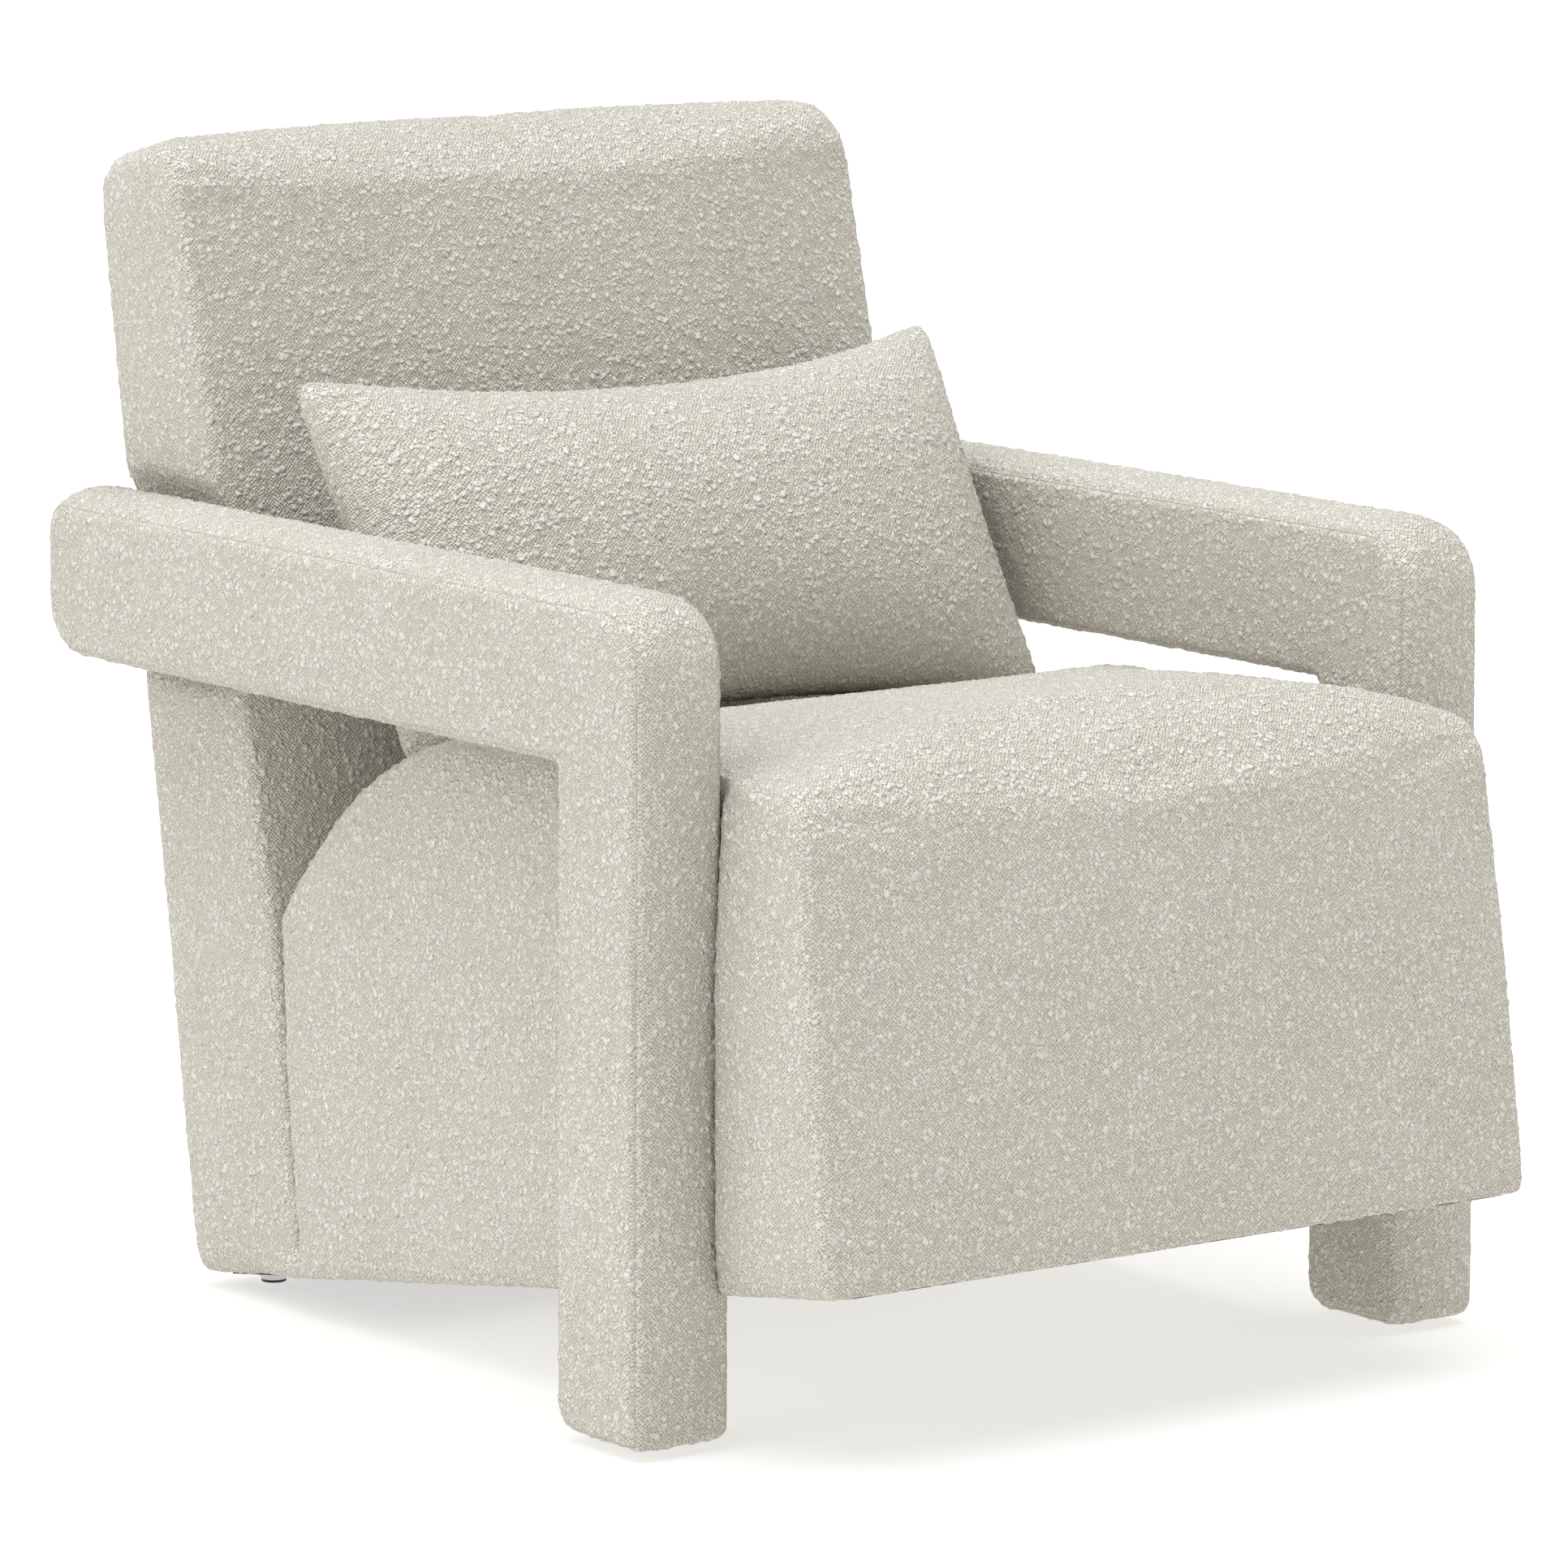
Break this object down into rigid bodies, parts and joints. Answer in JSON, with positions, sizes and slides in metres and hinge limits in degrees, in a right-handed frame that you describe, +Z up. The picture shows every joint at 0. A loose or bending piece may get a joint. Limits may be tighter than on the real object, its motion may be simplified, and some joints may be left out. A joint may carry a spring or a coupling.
{
  "type": "upholstered armchair",
  "caption": "Reclined lounge chair with a deep upholstered seat and back between two open L-shaped padded arms, on small levelling glides, with a loose lumbar pillow.",
  "frame": {"origin": "on the floor under the middle of the chair's box", "axes": "+Z up, the sitter faces -Y, +X to the left of someone sitting in it, which is the right of someone facing it"},
  "size_m": [0.74, 0.9114, 0.8497],
  "materials": {
    "boucle": "nubbly ivory loop-pile upholstery cloth",
    "foam": "open-cell cushion foam",
    "plywood": "sanded birch plywood",
    "hardwood": "sanded kiln-dried hardwood",
    "spring_steel": "dark drawn spring wire",
    "zinc_steel": "bright zinc plate",
    "spring_felt": "needled insulating felt",
    "webbing": "elastic webbing",
    "fibreboard": "hardboard",
    "lining": "black non-woven lining",
    "glide_plastic": "black moulded nylon",
    "glide_chrome": "bright plated steel",
    "fibre_fill": "hollow-fibre filling"
  },
  "bodies": {
    "chair": {"arm_cover_left": "boucle", "arm_cover_right": "boucle", "seat_cover": "boucle", "back_cover": "boucle", "outside_back_panel": "boucle", "arm_foam_left": "foam", "arm_foam_right": "foam", "seat_foam": "foam", "seat_front_foam": "foam", "seat_side_foam_left": "foam", "seat_side_foam_right": "foam", "back_foam": "foam", "back_side_foam": "foam", "back_top_foam": "foam", "side_frame_left": "plywood", "side_frame_right": "plywood", "front_rail": "plywood", "rear_seat_rail": "plywood", "cross_battens": "plywood", "rear_bottom_rail": "plywood", "back_lower_rail": "plywood", "back_top_rail": "plywood", "rear_foot_blocks": "hardwood", "corner_blocks": "hardwood", "leg_post_left": "hardwood", "leg_post_right": "hardwood", "arm_beam_left": "hardwood", "arm_beam_right": "hardwood", "arm_dowels": "hardwood", "seat_springs": "spring_steel", "spring_clips": "zinc_steel", "spring_pad": "spring_felt", "back_webbing": "webbing", "back_board": "fibreboard", "dust_cover": "lining", "arm_bolts": "zinc_steel", "bolt_washers": "zinc_steel", "t_nuts": "zinc_steel", "arm_frame_screws": "zinc_steel", "glide_sockets": "zinc_steel"},
    "pillow": {"pillow_cover": "boucle", "pillow_insert": "fibre_fill"},
    "glide_front_left": {"glide_stem_front_left": "glide_chrome", "glide_foot_front_left": "glide_plastic"},
    "glide_front_right": {"glide_stem_front_right": "glide_chrome", "glide_foot_front_right": "glide_plastic"},
    "glide_rear_left": {"glide_stem_rear_left": "glide_chrome", "glide_foot_rear_left": "glide_plastic"},
    "glide_rear_right": {"glide_stem_rear_right": "glide_chrome", "glide_foot_rear_right": "glide_plastic"}
  },
  "joints": [
    {"name": "pillow_lift", "type": "slide", "parent": "chair", "child": "pillow", "axis": [0, 0, 1], "range_m": [0, 0.5]},
    {"name": "glide_front_left_screw", "type": "slide", "parent": "chair", "child": "glide_front_left", "axis": [0, 0, -1], "range_m": [0, 0.01]},
    {"name": "glide_front_right_screw", "type": "slide", "parent": "chair", "child": "glide_front_right", "axis": [0, 0, -1], "range_m": [0, 0.01]},
    {"name": "glide_rear_left_screw", "type": "slide", "parent": "chair", "child": "glide_rear_left", "axis": [0, 0, -1], "range_m": [0, 0.01]},
    {"name": "glide_rear_right_screw", "type": "slide", "parent": "chair", "child": "glide_rear_right", "axis": [0, 0, -1], "range_m": [0, 0.01]}
  ]
}
